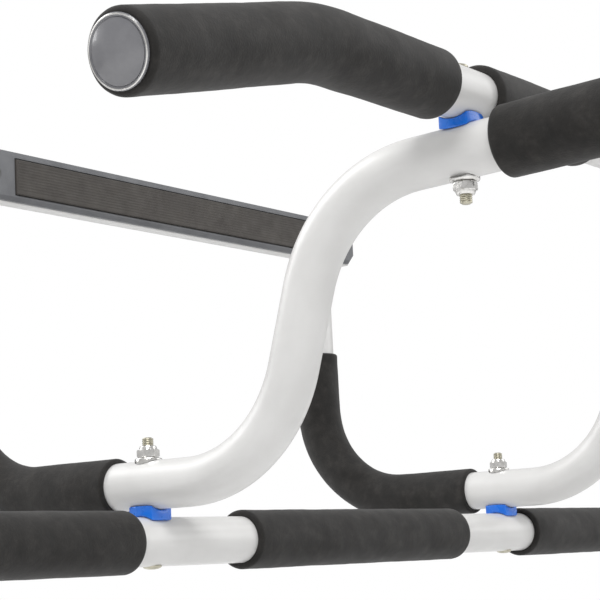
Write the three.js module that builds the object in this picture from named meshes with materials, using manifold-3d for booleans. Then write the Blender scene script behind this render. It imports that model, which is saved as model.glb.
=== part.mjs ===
// Doorway pull-up bar.
// Millimetres, +Z up, +X along the crossbars, +Y from the user towards the wall pad's side.
// The origin is the centre of the wall pad's face, which looks along -Y.
import * as THREE from 'three';
import { mergeVertices } from 'three/addons/utils/BufferGeometryUtils.js';
import Module from 'manifold-3d';

const wasm = await Module();
wasm.setup();

// Steel tube, shared by both crossbars and both side frames.
const TUBE_RADIUS = 16;
const TUBE_WALL = 1.6;
const SIDES = 16;
const BEND_STEP = THREE.MathUtils.degToRad(12);
const CLEARANCE = 0.3;
const SLEEVE_BORE = 16.5;

// The lower crossbar's axis, seen from the wall pad.
const LOWER_BAR_Y = -150.7;
const LOWER_BAR_Z = -274;
const LOWER_BAR_HALF = 510;

// Side frames: a vertical tube, a bend, a level run, an S-shaped rise and a handle.
const FRAME_X = 227.5;
const FRAME_LIFT = 36.7;
const FRAME_BACK = 186.2;
const FRAME_TOP = 290;
const REAR_BEND = { radius: 86.9, angle: 90 };
const LEVEL_RUN_FRONT = 34.1;
const RISE_BEND = { radius: 91, angle: 73.2 };
const RISE_LENGTH = 49.9;
const HANDLE_BEND = { radius: 89.8, angle: -70.9 };
const HANDLE_LENGTH = 194;

// Upper crossbar: level in the middle, with drooping ends.
const UPPER_BAR_Y = -251.5;
const UPPER_BAR_Z = 249.6;
const UPPER_BAR_STRAIGHT = 356.8;
const DROOP_BEND = { radius: 150.8, angle: 13.8 };
const DROOP_LENGTH = 136.4;

// Foam sleeves.
const LOWER_FOAM_RADIUS = 20.4;
const BEND_FOAM_RADIUS = 19.4;
const UPPER_FOAM_RADIUS = 20.9;
const HANDLE_FOAM_RADIUS = 21.6;
const LOWER_CENTRE_FOAM = { start: -135.2, end: 141.7 };
const LOWER_OUTER_FOAM_START = 253.5;
const UPPER_INNER_FOAM = { start: 80, end: 210.7 };
const UPPER_OUTER_FOAM_START = 257.1;
const BEND_FOAM_TOP = 172.5;
const BEND_FOAM_FRONT = 25.5;
const HANDLE_FOAM_START = 280;

// Bolted crossings.
const BOLT_RADIUS = 4;
const HOLE_RADIUS = 4.5;
const NUT_RADIUS = 7.5;
const NUT_HEIGHT = 7.6;
const WASHER_RADIUS = 9;
const WASHER_RISE = 1.8;
const WASHER_SKIRT = 2;
const BOLT_TIP = 5.4;
const HEAD_RADIUS = 6.2;
const HEAD_RISE = 1.8;
const HEX_HEAD_HEIGHT = 4.5;
const SADDLE_WIDTH = 22;
const SADDLE_HEIGHT = 10;

// Hook bar with its plastic cover and wall pad.
const PAD = { length: 380, height: 26.5, thickness: 2.8 };
const PAD_PROUD = 1.5;
const COVER = { half: 250, bottom: -18.4, top: 19, thickness: 4.7, bevel: 1.4, corner: 9 };
const HOOK_BAR = { half: 246, bottom: -19, top: 18, depth: 12.7, wall: 1.6 };
const COVER_SCREW_X = 211;
const SCREW_HEAD_RADIUS = 5.8;
const SCREW_HEAD_HEIGHT = 2.2;
const SCREW_RADIUS = 2;
const COUNTERBORE = 3;
const SCREW_LENGTH = 6;

// Plastic plugs in the tube ends.
const PLUG = { flange: 17.8, thickness: 1.8, dome: 3, stub: 13.6, length: 9 };

const FINISHES = {
  paint: { color: 0xc8cacd, roughness: 0.35, metalness: 0.1 },
  foam: { color: 0x2a2827, roughness: 0.95, metalness: 0 },
  saddle: { color: 0x0b58c6, roughness: 0.3, metalness: 0 },
  chrome: { color: 0xc4c4c6, roughness: 0.2, metalness: 1 },
  zinc: { color: 0xa9a389, roughness: 0.35, metalness: 1 },
  plug: { color: 0x8c8f93, roughness: 0.3, metalness: 0 },
  cover: { color: 0x5b5d61, roughness: 0.5, metalness: 0 },
  pad: { color: 0x3d3936, roughness: 0.8, metalness: 0 },
};

/** Makes a named mesh and puts it in a group. */
function addPart(parent, name, finish, geometry) {
  const mesh = new THREE.Mesh(geometry, new THREE.MeshStandardMaterial(FINISHES[finish]));
  mesh.name = name;
  parent.add(mesh);
  return mesh;
}

/** Turns a closed geometry into a solid that can be cut and joined. */
function toSolid(geometry) {
  const bare = geometry.clone();
  bare.deleteAttribute('normal');
  bare.deleteAttribute('uv');
  const merged = mergeVertices(bare, 1e-3);
  const vertProperties = Float32Array.from(merged.attributes.position.array);
  const triVerts = Uint32Array.from(merged.index.array);
  return new wasm.Manifold(new wasm.Mesh({ numProp: 3, vertProperties, triVerts }));
}

/** Turns a solid back into a geometry. */
function toGeometry(solid) {
  const mesh = solid.getMesh();
  const geometry = new THREE.BufferGeometry();
  geometry.setAttribute('position', new THREE.BufferAttribute(mesh.vertProperties, 3));
  geometry.setIndex(new THREE.BufferAttribute(mesh.triVerts, 1));
  geometry.computeVertexNormals();
  return geometry;
}

/** Cuts the tool geometries out of a base geometry. */
function cut(base, tools) {
  let solid = toSolid(base);
  for (const tool of tools) {
    solid = solid.subtract(toSolid(tool));
  }
  return toGeometry(solid);
}

/** Joins two overlapping geometries. */
function join(first, second) {
  return toGeometry(toSolid(first).add(toSolid(second)));
}

/** A round or many-sided rod from one point to another. */
function rod(start, end, radius, sides = SIDES) {
  const axis = end.clone().sub(start);
  const length = axis.length();
  const geometry = new THREE.CylinderGeometry(radius, radius, length, sides);
  geometry.translate(0, length / 2, 0);
  const turn = new THREE.Quaternion().setFromUnitVectors(new THREE.Vector3(0, 1, 0), axis.normalize());
  geometry.applyQuaternion(turn);
  geometry.translate(start.x, start.y, start.z);
  return geometry;
}

/** A box between two corners. */
function block(low, high) {
  const size = high.clone().sub(low);
  const geometry = new THREE.BoxGeometry(size.x, size.y, size.z);
  const centre = low.clone().add(high).multiplyScalar(0.5);
  geometry.translate(centre.x, centre.y, centre.z);
  return geometry;
}

/** A tube's centreline in one plane: straight legs and bends, measured by length from its start. */
class Centreline {
  constructor(start, along, across, legs) {
    this.along = along;
    this.across = across;
    this.stations = [];
    let distance = 0;
    let heading = 0;
    const point = start.clone();
    this.mark(distance, point, heading);
    for (const leg of legs) {
      const turn = THREE.MathUtils.degToRad(leg.angle ?? 0);
      const steps = turn === 0 ? 1 : Math.ceil(Math.abs(turn) / BEND_STEP);
      const chord = turn === 0 ? leg.length : 2 * leg.radius * Math.sin(Math.abs(turn) / steps / 2);
      const run = turn === 0 ? leg.length : leg.radius * Math.abs(turn) / steps;
      for (let step = 0; step < steps; step += 1) {
        point.addScaledVector(this.direction(heading + turn / steps / 2), chord);
        heading += turn / steps;
        distance += run;
        this.mark(distance, point, heading);
      }
    }
    this.length = distance;
  }

  direction(heading) {
    const vector = this.along.clone().multiplyScalar(Math.cos(heading));
    return vector.addScaledVector(this.across, Math.sin(heading));
  }

  mark(distance, point, heading) {
    this.stations.push({ distance, point: point.clone(), tangent: this.direction(heading) });
  }

  /** The station at a distance, on the straight line between its neighbours. */
  at(distance) {
    const next = this.stations.findIndex((station) => station.distance >= distance);
    const after = this.stations[Math.max(next, 1)];
    const before = this.stations[Math.max(next, 1) - 1];
    const share = (distance - before.distance) / (after.distance - before.distance);
    const point = before.point.clone().lerp(after.point, share);
    const tangent = before.tangent.clone().lerp(after.tangent, share).normalize();
    return { distance, point, tangent };
  }

  /** The first distance at which a coordinate of the centreline passes a value. */
  reach(coordinate, value) {
    for (let index = 1; index < this.stations.length; index += 1) {
      const before = this.stations[index - 1];
      const after = this.stations[index];
      const from = before.point[coordinate] - value;
      const to = after.point[coordinate] - value;
      if (from * to <= 0 && from !== to) {
        return before.distance + (after.distance - before.distance) * from / (from - to);
      }
    }
    return this.length;
  }

  /** The stretch between two distances, as a path for an extrusion. */
  stretch(from, to) {
    const inner = this.stations.filter((each) => each.distance > from + 1 && each.distance < to - 1);
    return new StationPath([this.at(from), ...inner, this.at(to)]);
  }
}

/** A curve that an extrusion follows one station at a time. */
class StationPath extends THREE.Curve {
  constructor(stations) {
    super();
    this.stations = stations;
    this.steps = stations.length - 1;
  }

  getPoint(share, target = new THREE.Vector3()) {
    return target.copy(this.stations[Math.round(share * this.steps)].point);
  }

  getPointAt(share, target) {
    return this.getPoint(share, target);
  }

  getTangentAt(share, target = new THREE.Vector3()) {
    return target.copy(this.stations[Math.round(share * this.steps)].tangent);
  }
}

/** A ring-shaped section with many sides. */
function ring(outer, inner) {
  const circle = (radius) => Array.from({ length: SIDES }, (_, index) => {
    const angle = 2 * Math.PI * index / SIDES;
    return new THREE.Vector2(radius * Math.cos(angle), radius * Math.sin(angle));
  });
  const shape = new THREE.Shape(circle(outer));
  shape.holes.push(new THREE.Path(circle(inner)));
  return shape;
}

/** A hollow tube or sleeve along a stretch of a centreline. */
function sleeve(centreline, from, to, outer, inner) {
  const extrudePath = centreline.stretch(from, to);
  return new THREE.ExtrudeGeometry(ring(outer, inner), { steps: extrudePath.steps, extrudePath });
}

/** A steel tube along a whole centreline, with holes drilled through it. */
function steelTube(centreline, holes) {
  const tube = sleeve(centreline, 0, centreline.length, TUBE_RADIUS, TUBE_RADIUS - TUBE_WALL);
  return cut(tube, holes);
}

/** A domed end plug whose flange covers a tube's end, pointing outwards along a direction. */
function endPlug(end, outwards, flange) {
  const profile = [
    new THREE.Vector2(0, -PLUG.length),
    new THREE.Vector2(PLUG.stub, -PLUG.length),
    new THREE.Vector2(PLUG.stub, CLEARANCE),
    new THREE.Vector2(flange, CLEARANCE),
    new THREE.Vector2(flange, CLEARANCE + PLUG.thickness),
    new THREE.Vector2(flange * 0.7, CLEARANCE + PLUG.thickness + PLUG.dome * 0.7),
    new THREE.Vector2(0, CLEARANCE + PLUG.thickness + PLUG.dome),
  ];
  const geometry = new THREE.LatheGeometry(profile, SIDES);
  const turn = new THREE.Quaternion().setFromUnitVectors(new THREE.Vector3(0, 1, 0), outwards);
  geometry.applyQuaternion(turn);
  geometry.translate(end.x, end.y, end.z);
  return geometry;
}

/** A long straight rod along a tube's own axis, used to cut pieces that fit round the tube. */
function tubeCutter(tube) {
  const reach = tube.direction.clone().multiplyScalar(40);
  return rod(tube.centre.clone().sub(reach), tube.centre.clone().add(reach), SLEEVE_BORE);
}

/** A vertical rod at a crossing between two heights. */
function uprightRod(centre, low, high, radius, sides = SIDES) {
  const start = new THREE.Vector3(centre.x, centre.y, low);
  const end = new THREE.Vector3(centre.x, centre.y, high);
  return rod(start, end, radius, sides);
}

/** Bolts one tube on top of another: saddle, bolt with a low curved head, curved washer and nut. */
function addCrossing(parent, place, below, above, nutOnTop) {
  const middle = (below.centre.z + above.centre.z) / 2;
  const half = new THREE.Vector3(SADDLE_WIDTH / 2, SADDLE_WIDTH / 2, SADDLE_HEIGHT / 2);
  const seat = new THREE.Vector3(below.centre.x, below.centre.y, middle);
  const saddle = block(seat.clone().sub(half), seat.clone().add(half));
  const hole = uprightRod(seat, below.centre.z, above.centre.z, HOLE_RADIUS);
  addPart(parent, `saddle_${place}`, 'saddle', cut(saddle, [tubeCutter(below), tubeCutter(above), hole]));

  const nutSide = nutOnTop ? 1 : -1;
  const nutTube = nutOnTop ? above : below;
  const headTube = nutOnTop ? below : above;
  const nutFace = nutTube.centre.z + nutSide * TUBE_RADIUS;
  const headFace = headTube.centre.z - nutSide * TUBE_RADIUS;
  const skirt = nutFace - nutSide * WASHER_SKIRT;
  const rim = nutFace + nutSide * WASHER_RISE;
  const washer = uprightRod(seat, Math.min(skirt, rim), Math.max(skirt, rim), WASHER_RADIUS);
  const washerBore = uprightRod(seat, nutFace - 20, nutFace + 20, HOLE_RADIUS);
  addPart(parent, `washer_${place}`, 'chrome', cut(washer, [tubeCutter(nutTube), washerBore]));

  const nutStart = nutFace + nutSide * (WASHER_RISE + CLEARANCE);
  const nutEnd = nutStart + nutSide * NUT_HEIGHT;
  const nut = uprightRod(seat, Math.min(nutStart, nutEnd), Math.max(nutStart, nutEnd), NUT_RADIUS, 6);
  const nutBore = uprightRod(seat, nutStart - 20, nutStart + 20, BOLT_RADIUS + CLEARANCE);
  addPart(parent, `nut_${place}`, 'chrome', cut(nut, [nutBore]));

  const headRoot = headFace + nutSide * WASHER_SKIRT;
  const headEnd = headFace - nutSide * HEAD_RISE;
  const headDisc = uprightRod(seat, Math.min(headRoot, headEnd), Math.max(headRoot, headEnd), HEAD_RADIUS);
  const head = cut(headDisc, [tubeCutter(headTube)]);
  const tip = nutEnd + nutSide * BOLT_TIP;
  const inHead = headEnd + nutSide * 0.6;
  const shank = uprightRod(seat, Math.min(inHead, tip), Math.max(inHead, tip), BOLT_RADIUS);
  addPart(parent, `bolt_${place}`, 'zinc', join(head, shank));
}

/** The centreline of one side frame, from the top of its vertical tube to the handle's end. */
function sideFrameLine(x) {
  const start = new THREE.Vector3(x, FRAME_BACK, FRAME_TOP);
  const drop = FRAME_TOP - FRAME_LIFT - REAR_BEND.radius;
  const levelRun = FRAME_BACK - REAR_BEND.radius + LEVEL_RUN_FRONT;
  const down = new THREE.Vector3(0, 0, -1);
  const forward = new THREE.Vector3(0, -1, 0);
  return new Centreline(start, down, forward, [
    { length: drop },
    REAR_BEND,
    { length: levelRun },
    RISE_BEND,
    { length: RISE_LENGTH },
    HANDLE_BEND,
    { length: HANDLE_LENGTH },
  ]);
}

/** The centreline of the upper crossbar, from its left end to its right end. */
function upperBarLine() {
  const droop = THREE.MathUtils.degToRad(DROOP_BEND.angle);
  const outer = UPPER_BAR_STRAIGHT + DROOP_BEND.radius * Math.sin(droop) + DROOP_LENGTH * Math.cos(droop);
  const fall = DROOP_BEND.radius * (1 - Math.cos(droop)) + DROOP_LENGTH * Math.sin(droop);
  const start = new THREE.Vector3(-outer, UPPER_BAR_Y, UPPER_BAR_Z - fall);
  const along = new THREE.Vector3(Math.cos(droop), 0, Math.sin(droop));
  const across = new THREE.Vector3(Math.sin(droop), 0, -Math.cos(droop));
  return new Centreline(start, along, across, [
    { length: DROOP_LENGTH },
    DROOP_BEND,
    { length: 2 * UPPER_BAR_STRAIGHT },
    DROOP_BEND,
    { length: DROOP_LENGTH },
  ]);
}

/** The straight centreline of the lower crossbar. */
function lowerBarLine() {
  const start = new THREE.Vector3(-LOWER_BAR_HALF, 0, 0);
  const along = new THREE.Vector3(1, 0, 0);
  return new Centreline(start, along, new THREE.Vector3(0, 0, 1), [{ length: 2 * LOWER_BAR_HALF }]);
}

/** Adds plugs in both ends of a tube. */
function addEndPlugs(parent, names, centreline, firstFlange = PLUG.flange) {
  const first = centreline.at(0);
  const last = centreline.at(centreline.length);
  addPart(parent, names[0], 'plug', endPlug(first.point, first.tangent.clone().negate(), firstFlange));
  addPart(parent, names[1], 'plug', endPlug(last.point, last.tangent.clone(), PLUG.flange));
}

/** Adds a foam sleeve to a crossbar between two places along X. */
function addBarFoam(parent, name, centreline, startX, endX, radius) {
  const start = centreline.reach('x', startX);
  const end = centreline.reach('x', endX);
  addPart(parent, name, 'foam', sleeve(centreline, start, end, radius, SLEEVE_BORE));
}

/** Builds the two crossbars, with their foam and plugs. */
function addCrossbars(parent, sides) {
  const lower = lowerBarLine();
  const upper = upperBarLine();
  const lowerHoles = sides.map(({ x }) => uprightRod({ x, y: 0 }, -30, 30, HOLE_RADIUS));
  const upperHoles = sides.map(({ x }) => (
    uprightRod({ x, y: UPPER_BAR_Y }, UPPER_BAR_Z - 30, UPPER_BAR_Z + 30, HOLE_RADIUS)
  ));
  addPart(parent, 'lower_bar', 'paint', steelTube(lower, lowerHoles));
  addPart(parent, 'upper_bar', 'paint', steelTube(upper, upperHoles));
  const lowerCentre = LOWER_CENTRE_FOAM;
  const upperInner = UPPER_INNER_FOAM;
  const [lowerStart, lowerEnd] = [0, lower.length].map((distance) => lower.at(distance).point.x);
  const [upperStart, upperEnd] = [0, upper.length].map((distance) => upper.at(distance).point.x);
  addBarFoam(parent, 'foam_lower_left', lower, lowerStart, -LOWER_OUTER_FOAM_START, LOWER_FOAM_RADIUS);
  addBarFoam(parent, 'foam_lower_centre', lower, lowerCentre.start, lowerCentre.end, LOWER_FOAM_RADIUS);
  addBarFoam(parent, 'foam_lower_right', lower, LOWER_OUTER_FOAM_START, lowerEnd, LOWER_FOAM_RADIUS);
  addBarFoam(parent, 'foam_upper_left', upper, upperStart, -UPPER_OUTER_FOAM_START, UPPER_FOAM_RADIUS);
  addBarFoam(parent, 'foam_upper_inner_left', upper, -upperInner.end, -upperInner.start, UPPER_FOAM_RADIUS);
  addBarFoam(parent, 'foam_upper_inner_right', upper, upperInner.start, upperInner.end, UPPER_FOAM_RADIUS);
  addBarFoam(parent, 'foam_upper_right', upper, UPPER_OUTER_FOAM_START, upperEnd, UPPER_FOAM_RADIUS);
  addEndPlugs(parent, ['plug_lower_left', 'plug_lower_right'], lower);
  addEndPlugs(parent, ['plug_upper_left', 'plug_upper_right'], upper);
}

/** Builds one side frame with its foam, plugs and bolted crossings. */
function addSideFrame(parent, { name, x }) {
  const line = sideFrameLine(x);
  const underBar = line.at(line.reach('y', UPPER_BAR_Y));
  const hookHeight = -LOWER_BAR_Z;
  const hookHole = rod(
    new THREE.Vector3(x, FRAME_BACK - 40, hookHeight),
    new THREE.Vector3(x, FRAME_BACK + 40, hookHeight),
    HOLE_RADIUS,
  );
  const holes = [
    uprightRod({ x, y: 0 }, FRAME_LIFT - 30, FRAME_LIFT + 30, HOLE_RADIUS),
    uprightRod(underBar.point, underBar.point.z - 30, underBar.point.z + 30, HOLE_RADIUS),
    hookHole,
  ];
  addPart(parent, `side_frame_${name}`, 'paint', steelTube(line, holes));
  addEndPlugs(parent, [`plug_frame_top_${name}`, `plug_handle_${name}`], line, TUBE_RADIUS);

  const bendTop = line.reach('z', BEND_FOAM_TOP);
  const bendFront = line.reach('y', BEND_FOAM_FRONT);
  const handleStart = line.reach('y', -HANDLE_FOAM_START);
  const bendFoam = sleeve(line, bendTop, bendFront, BEND_FOAM_RADIUS, SLEEVE_BORE);
  const handleFoam = sleeve(line, handleStart, line.length, HANDLE_FOAM_RADIUS, SLEEVE_BORE);
  addPart(parent, `foam_bend_${name}`, 'foam', bendFoam);
  addPart(parent, `foam_handle_${name}`, 'foam', handleFoam);

  const across = new THREE.Vector3(1, 0, 0);
  const lowerBar = { centre: new THREE.Vector3(x, 0, 0), direction: across };
  const levelRun = { centre: new THREE.Vector3(x, 0, FRAME_LIFT), direction: new THREE.Vector3(0, 1, 0) };
  const handle = { centre: underBar.point, direction: underBar.tangent };
  const upperBar = { centre: new THREE.Vector3(x, UPPER_BAR_Y, UPPER_BAR_Z), direction: across };
  addCrossing(parent, `lower_${name}`, lowerBar, levelRun, true);
  addCrossing(parent, `upper_${name}`, handle, upperBar, false);
}

/** The plastic cover: a bevelled plate with cut corners, a pocket for the pad and two counterbores. */
function coverGeometry(front, back) {
  const { half, bottom, top, bevel, corner } = COVER;
  const shape = new THREE.Shape();
  shape.moveTo(-half + corner + bevel, bottom + bevel);
  shape.lineTo(half - corner - bevel, bottom + bevel);
  shape.lineTo(half - bevel, bottom + corner + bevel);
  shape.lineTo(half - bevel, top - bevel);
  shape.lineTo(-half + bevel, top - bevel);
  shape.lineTo(-half + bevel, bottom + corner + bevel);
  const depth = back - front - 2 * bevel;
  const plate = new THREE.ExtrudeGeometry(shape, {
    depth, steps: 1, bevelSize: bevel, bevelThickness: bevel, bevelSegments: 1,
  });
  plate.rotateX(Math.PI / 2);
  plate.translate(0, back - bevel, 0);
  const pocket = block(
    new THREE.Vector3(-PAD.length / 2 - CLEARANCE, front - 1, -PAD.height / 2 - CLEARANCE),
    new THREE.Vector3(PAD.length / 2 + CLEARANCE, PAD.thickness + CLEARANCE, PAD.height / 2 + CLEARANCE),
  );
  const tools = [pocket];
  for (const x of [-COVER_SCREW_X, COVER_SCREW_X]) {
    const start = new THREE.Vector3(x, front - 1, 0);
    tools.push(rod(start, new THREE.Vector3(x, front + COUNTERBORE, 0), SCREW_HEAD_RADIUS + CLEARANCE));
    tools.push(rod(start, new THREE.Vector3(x, back + 1, 0), SCREW_RADIUS + CLEARANCE));
  }
  return cut(plate, tools);
}

/** Builds the hook bar with its cover, wall pad, screws and the bolts that hold it to the frames. */
function addHook(parent, sides) {
  const coverFront = PAD_PROUD;
  const coverBack = coverFront + COVER.thickness;
  const barFront = coverBack + CLEARANCE;
  const barBack = barFront + HOOK_BAR.depth;
  const { half, bottom, top, wall } = HOOK_BAR;

  const outer = block(new THREE.Vector3(-half, barFront, bottom), new THREE.Vector3(half, barBack, top));
  const inner = block(
    new THREE.Vector3(-half - 1, barFront + wall, bottom + wall),
    new THREE.Vector3(half + 1, barBack - wall, top - wall),
  );
  const holes = [];
  for (const x of [-COVER_SCREW_X, COVER_SCREW_X]) {
    const start = new THREE.Vector3(x, barFront - 1, 0);
    holes.push(rod(start, new THREE.Vector3(x, barFront + wall + 1, 0), SCREW_RADIUS + CLEARANCE));
  }
  for (const { x } of sides) {
    const start = new THREE.Vector3(x, barBack - wall - 1, 0);
    holes.push(rod(start, new THREE.Vector3(x, barBack + 1, 0), HOLE_RADIUS));
  }
  addPart(parent, 'hook_bar', 'paint', cut(outer, [inner, ...holes]));
  addPart(parent, 'hook_cover', 'cover', coverGeometry(coverFront, coverBack));
  addPart(parent, 'wall_pad', 'pad', block(
    new THREE.Vector3(-PAD.length / 2, 0, -PAD.height / 2),
    new THREE.Vector3(PAD.length / 2, PAD.thickness, PAD.height / 2),
  ));

  for (const { name, x } of sides) {
    const screwX = Math.sign(x) * COVER_SCREW_X;
    const headBack = coverFront + COUNTERBORE - CLEARANCE;
    const headFront = headBack - SCREW_HEAD_HEIGHT;
    const head = rod(
      new THREE.Vector3(screwX, headFront, 0),
      new THREE.Vector3(screwX, headBack, 0),
      SCREW_HEAD_RADIUS,
    );
    const shank = rod(
      new THREE.Vector3(screwX, headBack - 1, 0),
      new THREE.Vector3(screwX, headBack + SCREW_LENGTH, 0),
      SCREW_RADIUS,
    );
    addPart(parent, `cover_screw_${name}`, 'zinc', join(head, shank));

    const nutBack = barBack - wall - CLEARANCE;
    const nutFront = nutBack - 5.5;
    const nut = rod(new THREE.Vector3(x, nutFront, 0), new THREE.Vector3(x, nutBack, 0), NUT_RADIUS, 6);
    const bore = rod(
      new THREE.Vector3(x, nutFront - 1, 0),
      new THREE.Vector3(x, nutBack + 1, 0),
      BOLT_RADIUS + CLEARANCE,
    );
    addPart(parent, `hook_nut_${name}`, 'chrome', cut(nut, [bore]));

    const tubeBack = LOWER_BAR_Y + FRAME_BACK + TUBE_RADIUS;
    const headStart = tubeBack + CLEARANCE;
    const hexHead = rod(
      new THREE.Vector3(x, headStart, 0),
      new THREE.Vector3(x, headStart + HEX_HEAD_HEIGHT, 0),
      NUT_RADIUS,
      6,
    );
    const boltShank = rod(
      new THREE.Vector3(x, nutFront - 1, 0),
      new THREE.Vector3(x, headStart + 1, 0),
      BOLT_RADIUS,
    );
    addPart(parent, `hook_bolt_${name}`, 'zinc', join(hexHead, boltShank));
  }
}

const sides = [
  { name: 'left', x: -FRAME_X },
  { name: 'right', x: FRAME_X },
];

const group = new THREE.Group();

// Everything that is measured from the lower crossbar's axis.
const bars = new THREE.Group();
bars.position.set(0, LOWER_BAR_Y, LOWER_BAR_Z);
group.add(bars);

addCrossbars(bars, sides);
sides.forEach((side) => addSideFrame(bars, side));
addHook(group, sides);

export default group;
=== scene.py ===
"""Doorway pull-up bar: the finished surfaces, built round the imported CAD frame.

Every length is in metres and every piece stands in the frame's own coordinates:
+X along the crossbars, +Y towards the hook bar, +Z up, origin on the wall pad's face.
"""

import logging
import math
from dataclasses import dataclass, field
from enum import Enum
from typing import Callable, Iterable, Sequence

import bmesh
import bpy
from mathutils import Matrix, Vector, noise

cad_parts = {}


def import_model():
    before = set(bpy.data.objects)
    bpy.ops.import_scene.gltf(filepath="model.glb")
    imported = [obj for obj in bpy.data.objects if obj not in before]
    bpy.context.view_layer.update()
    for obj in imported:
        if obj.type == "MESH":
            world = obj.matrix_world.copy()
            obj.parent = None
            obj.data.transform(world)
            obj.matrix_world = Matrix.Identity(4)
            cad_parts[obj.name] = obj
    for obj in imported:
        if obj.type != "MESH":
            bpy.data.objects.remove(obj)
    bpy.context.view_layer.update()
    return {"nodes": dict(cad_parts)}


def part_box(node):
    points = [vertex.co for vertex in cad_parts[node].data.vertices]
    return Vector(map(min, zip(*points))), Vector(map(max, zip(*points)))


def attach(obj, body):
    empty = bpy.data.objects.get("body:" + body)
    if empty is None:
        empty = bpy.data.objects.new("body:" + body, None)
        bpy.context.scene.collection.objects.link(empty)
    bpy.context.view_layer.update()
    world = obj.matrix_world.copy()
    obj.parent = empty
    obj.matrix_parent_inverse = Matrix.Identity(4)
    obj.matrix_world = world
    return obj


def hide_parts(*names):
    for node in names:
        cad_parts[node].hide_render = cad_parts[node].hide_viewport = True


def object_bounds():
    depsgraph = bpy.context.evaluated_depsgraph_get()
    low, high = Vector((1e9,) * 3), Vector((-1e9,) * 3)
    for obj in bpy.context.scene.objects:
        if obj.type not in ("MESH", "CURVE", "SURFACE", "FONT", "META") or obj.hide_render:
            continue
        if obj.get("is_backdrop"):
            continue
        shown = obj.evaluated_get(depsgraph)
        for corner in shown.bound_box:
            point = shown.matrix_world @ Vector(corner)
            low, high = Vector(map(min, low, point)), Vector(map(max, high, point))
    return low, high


LOG = logging.getLogger("pull_up_bar")
BODY = "root"
FULL_TURN = 2 * math.pi
# The radius inside every foam sleeve, just clear of the steel tube.
SLEEVE_BORE = 0.01625
# The radius of the plugs in the upper crossbar and the handles.
PLUG_FLANGE = 0.0178
# From the centre to a flat side of every hexagon nut and bolt head.
HEXAGON_REACH = 0.0065

Ring = list[Vector]
Station = tuple[float, float]


class Side(Enum):
    """The two mirrored halves of the bar."""

    LEFT = "left"
    RIGHT = "right"

    @property
    def sign(self) -> int:
        """Returns -1 on the left and 1 on the right."""
        return -1 if self is Side.LEFT else 1


class Slot(Enum):
    """The record's material slots."""

    PAINT = "frame_paint"
    FOAM = "foam"
    BLUE = "blue_plastic"
    CHROME = "chrome"
    ZINC = "zinc"
    PLUG = "plug_plastic"
    COVER = "cover_plastic"
    PAD = "pad_rubber"


# ---------------------------------------------------------------- finishes


class NodeKit:
    """Small helper that adds and links shader nodes in one material."""

    def __init__(self, name: str) -> None:
        """Starts a material with its principled shader.

        Args:
            name: The material's name.
        """
        self.material = bpy.data.materials.new(name)
        self.material.use_nodes = True
        self.tree = self.material.node_tree
        self.shader = self.tree.nodes["Principled BSDF"]
        coordinates = self.tree.nodes.new("ShaderNodeTexCoord")
        self.position = coordinates.outputs["Object"]

    def noise(self, per_metre: float, detail: float = 3.0, roughness: float = 0.55) -> bpy.types.NodeSocket:
        """Adds a noise texture in object coordinates.

        Args:
            per_metre: The pattern's scale.
            detail: How many octaves it has.
            roughness: How strong the fine octaves are.

        Returns:
            The noise's factor socket.
        """
        node = self.tree.nodes.new("ShaderNodeTexNoise")
        node.inputs["Scale"].default_value = per_metre
        node.inputs["Detail"].default_value = detail
        node.inputs["Roughness"].default_value = roughness
        self.tree.links.new(self.position, node.inputs["Vector"])
        return node.outputs["Fac"]

    def cells(self, per_metre: float) -> bpy.types.NodeSocket:
        """Adds a Voronoi texture and returns its distance socket.

        Args:
            per_metre: The pattern's scale.

        Returns:
            The distance to the nearest cell's centre.
        """
        node = self.tree.nodes.new("ShaderNodeTexVoronoi")
        node.inputs["Scale"].default_value = per_metre
        self.tree.links.new(self.position, node.inputs["Vector"])
        return node.outputs["Distance"]

    def ramp(self, factor: bpy.types.NodeSocket,
             stops: Sequence[tuple[float, Sequence[float]]]) -> bpy.types.NodeSocket:
        """Maps a factor to colours.

        Args:
            factor: The socket to map.
            stops: Pairs of a place from 0 to 1 and a linear colour.

        Returns:
            The colour socket.
        """
        node = self.tree.nodes.new("ShaderNodeValToRGB")
        elements = node.color_ramp.elements
        while len(elements) < len(stops):
            elements.new(0.5)
        for element, (place, colour) in zip(elements, stops):
            element.position = place
            element.color = (*colour, 1.0)
        self.tree.links.new(factor, node.inputs["Fac"])
        return node.outputs["Color"]

    def range(self, factor: bpy.types.NodeSocket, low: float, high: float) -> bpy.types.NodeSocket:
        """Maps a noise factor's usual spread to a range of values.

        Args:
            factor: The socket to map.
            low: The value at the spread's low end.
            high: The value at its high end.

        Returns:
            The mapped value's socket.
        """
        node = self.tree.nodes.new("ShaderNodeMapRange")
        node.inputs["From Min"].default_value = 0.3
        node.inputs["From Max"].default_value = 0.7
        node.inputs["To Min"].default_value = low
        node.inputs["To Max"].default_value = high
        self.tree.links.new(factor, node.inputs["Value"])
        return node.outputs["Result"]

    def bump(self, height: bpy.types.NodeSocket, depth: float, strength: float,
             under: bpy.types.NodeSocket | None = None) -> bpy.types.NodeSocket:
        """Adds a bump from a height socket.

        Args:
            height: The height pattern.
            depth: The pattern's depth in metres.
            strength: How much of it shows.
            under: A normal from a coarser bump that this one lies on.

        Returns:
            The bumped normal's socket.
        """
        node = self.tree.nodes.new("ShaderNodeBump")
        node.inputs["Distance"].default_value = depth
        node.inputs["Strength"].default_value = strength
        self.tree.links.new(height, node.inputs["Height"])
        if under is not None:
            self.tree.links.new(under, node.inputs["Normal"])
        return node.outputs["Normal"]

    def wire(self, socket: bpy.types.NodeSocket, name: str) -> None:
        """Links a socket to one of the shader's inputs by name."""
        self.tree.links.new(socket, self.shader.inputs[name])

    def put(self, name: str, value: float | Sequence[float]) -> None:
        """Sets a constant on one of the shader's own sockets."""
        self.shader.inputs[name].default_value = value


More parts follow.
